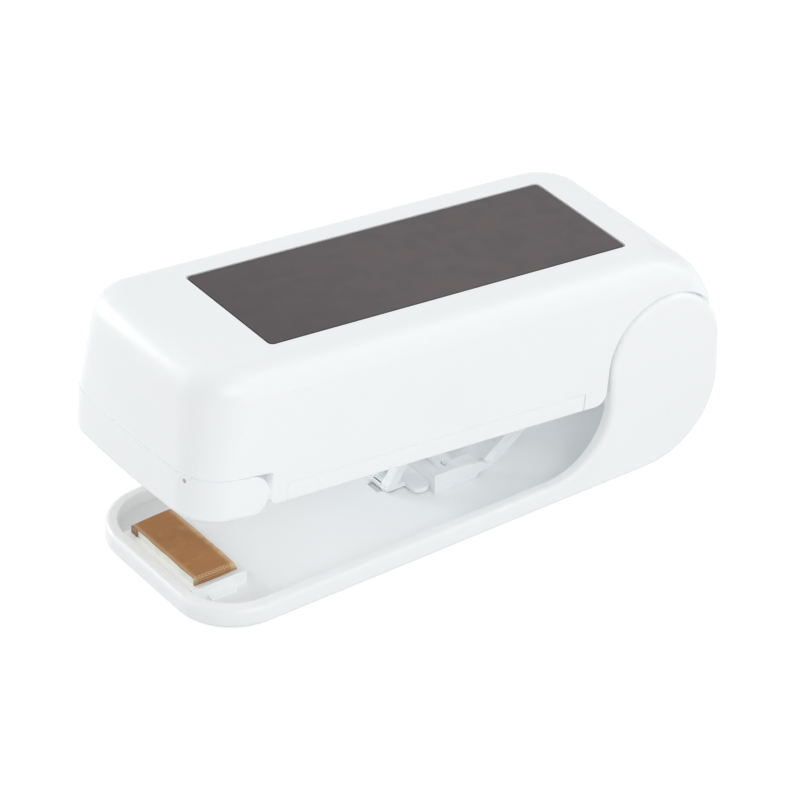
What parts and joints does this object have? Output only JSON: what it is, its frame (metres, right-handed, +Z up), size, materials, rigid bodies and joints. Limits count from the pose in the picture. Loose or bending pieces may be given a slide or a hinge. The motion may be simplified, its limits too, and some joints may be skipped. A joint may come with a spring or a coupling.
{
  "type": "mini bag sealer",
  "caption": "Pocket heat sealer for plastic bags: a hinged upper jaw with a rocking heater head, magnet top and battery cover over a shallow base with a lock slider.",
  "frame": {"origin": "centre of the bounding box in X and Y, on the plane that the base stands on", "axes": "+X from the mouth to the hinge, +Y across the jaws, +Z up from the surface that the base stands on"},
  "size_m": [0.104, 0.04, 0.0472],
  "materials": {
    "shell": "white gloss",
    "inner": "white satin",
    "acetal": "white satin",
    "rubber": "off-white soft",
    "cloth": "coated glass cloth",
    "film": "coated glass cloth",
    "magnet": "dark satin",
    "steel": "bright",
    "brass": "bright",
    "cell": "plain sleeve"
  },
  "bodies": {
    "base": {"base_tray": "shell", "anvil_pad": "rubber", "anvil_tape": "cloth", "return_spring": "acetal", "hinge_pin": "steel"},
    "lock": {"lock_slider": "acetal"},
    "jaw": {"upper_housing": "shell", "magnet_sheet": "magnet", "battery_tray": "inner", "cell_near": "cell", "cell_far": "cell", "contact_spring_near": "steel", "contact_spring_far": "steel", "contact_plate_near": "brass", "contact_plate_far": "brass", "contact_bridge": "brass", "fixed_switch_contact": "brass", "tray_screw_near": "steel", "tray_screw_far": "steel", "head_spring_near": "steel", "head_spring_far": "steel"},
    "head": {"heater_head": "shell", "heater_ribbon": "steel", "heater_tape": "film", "moving_switch_contact": "brass", "head_pin_near": "steel", "head_pin_far": "steel"},
    "cover": {"battery_cover": "shell"}
  },
  "joints": [
    {"name": "jaw_hinge", "type": "hinge", "parent": "base", "child": "jaw", "pos_m": [0.04081, 0, 0.0208], "axis": [0, 1, 0], "range_deg": [-10.5, 55], "stiffness_Nm_per_rad": 2.5, "springref_deg": 0.69},
    {"name": "head_press", "type": "hinge", "parent": "jaw", "child": "head", "pos_m": [-0.04134, 0, 0.02465], "axis": [0, 1, 0], "range_deg": [0, 1], "stiffness_Nm_per_rad": 0.3, "springref_deg": -2.86, "deforming": ["head_spring_near", "head_spring_far"]},
    {"name": "lock_slide", "type": "slide", "parent": "base", "child": "lock", "axis": [-1, 0, 0], "range_m": [0, 0.003]},
    {"name": "cover_slide", "type": "slide", "parent": "jaw", "child": "cover", "axis": [-0.0941, 0, -0.9956], "range_m": [0, 0.003]}
  ]
}
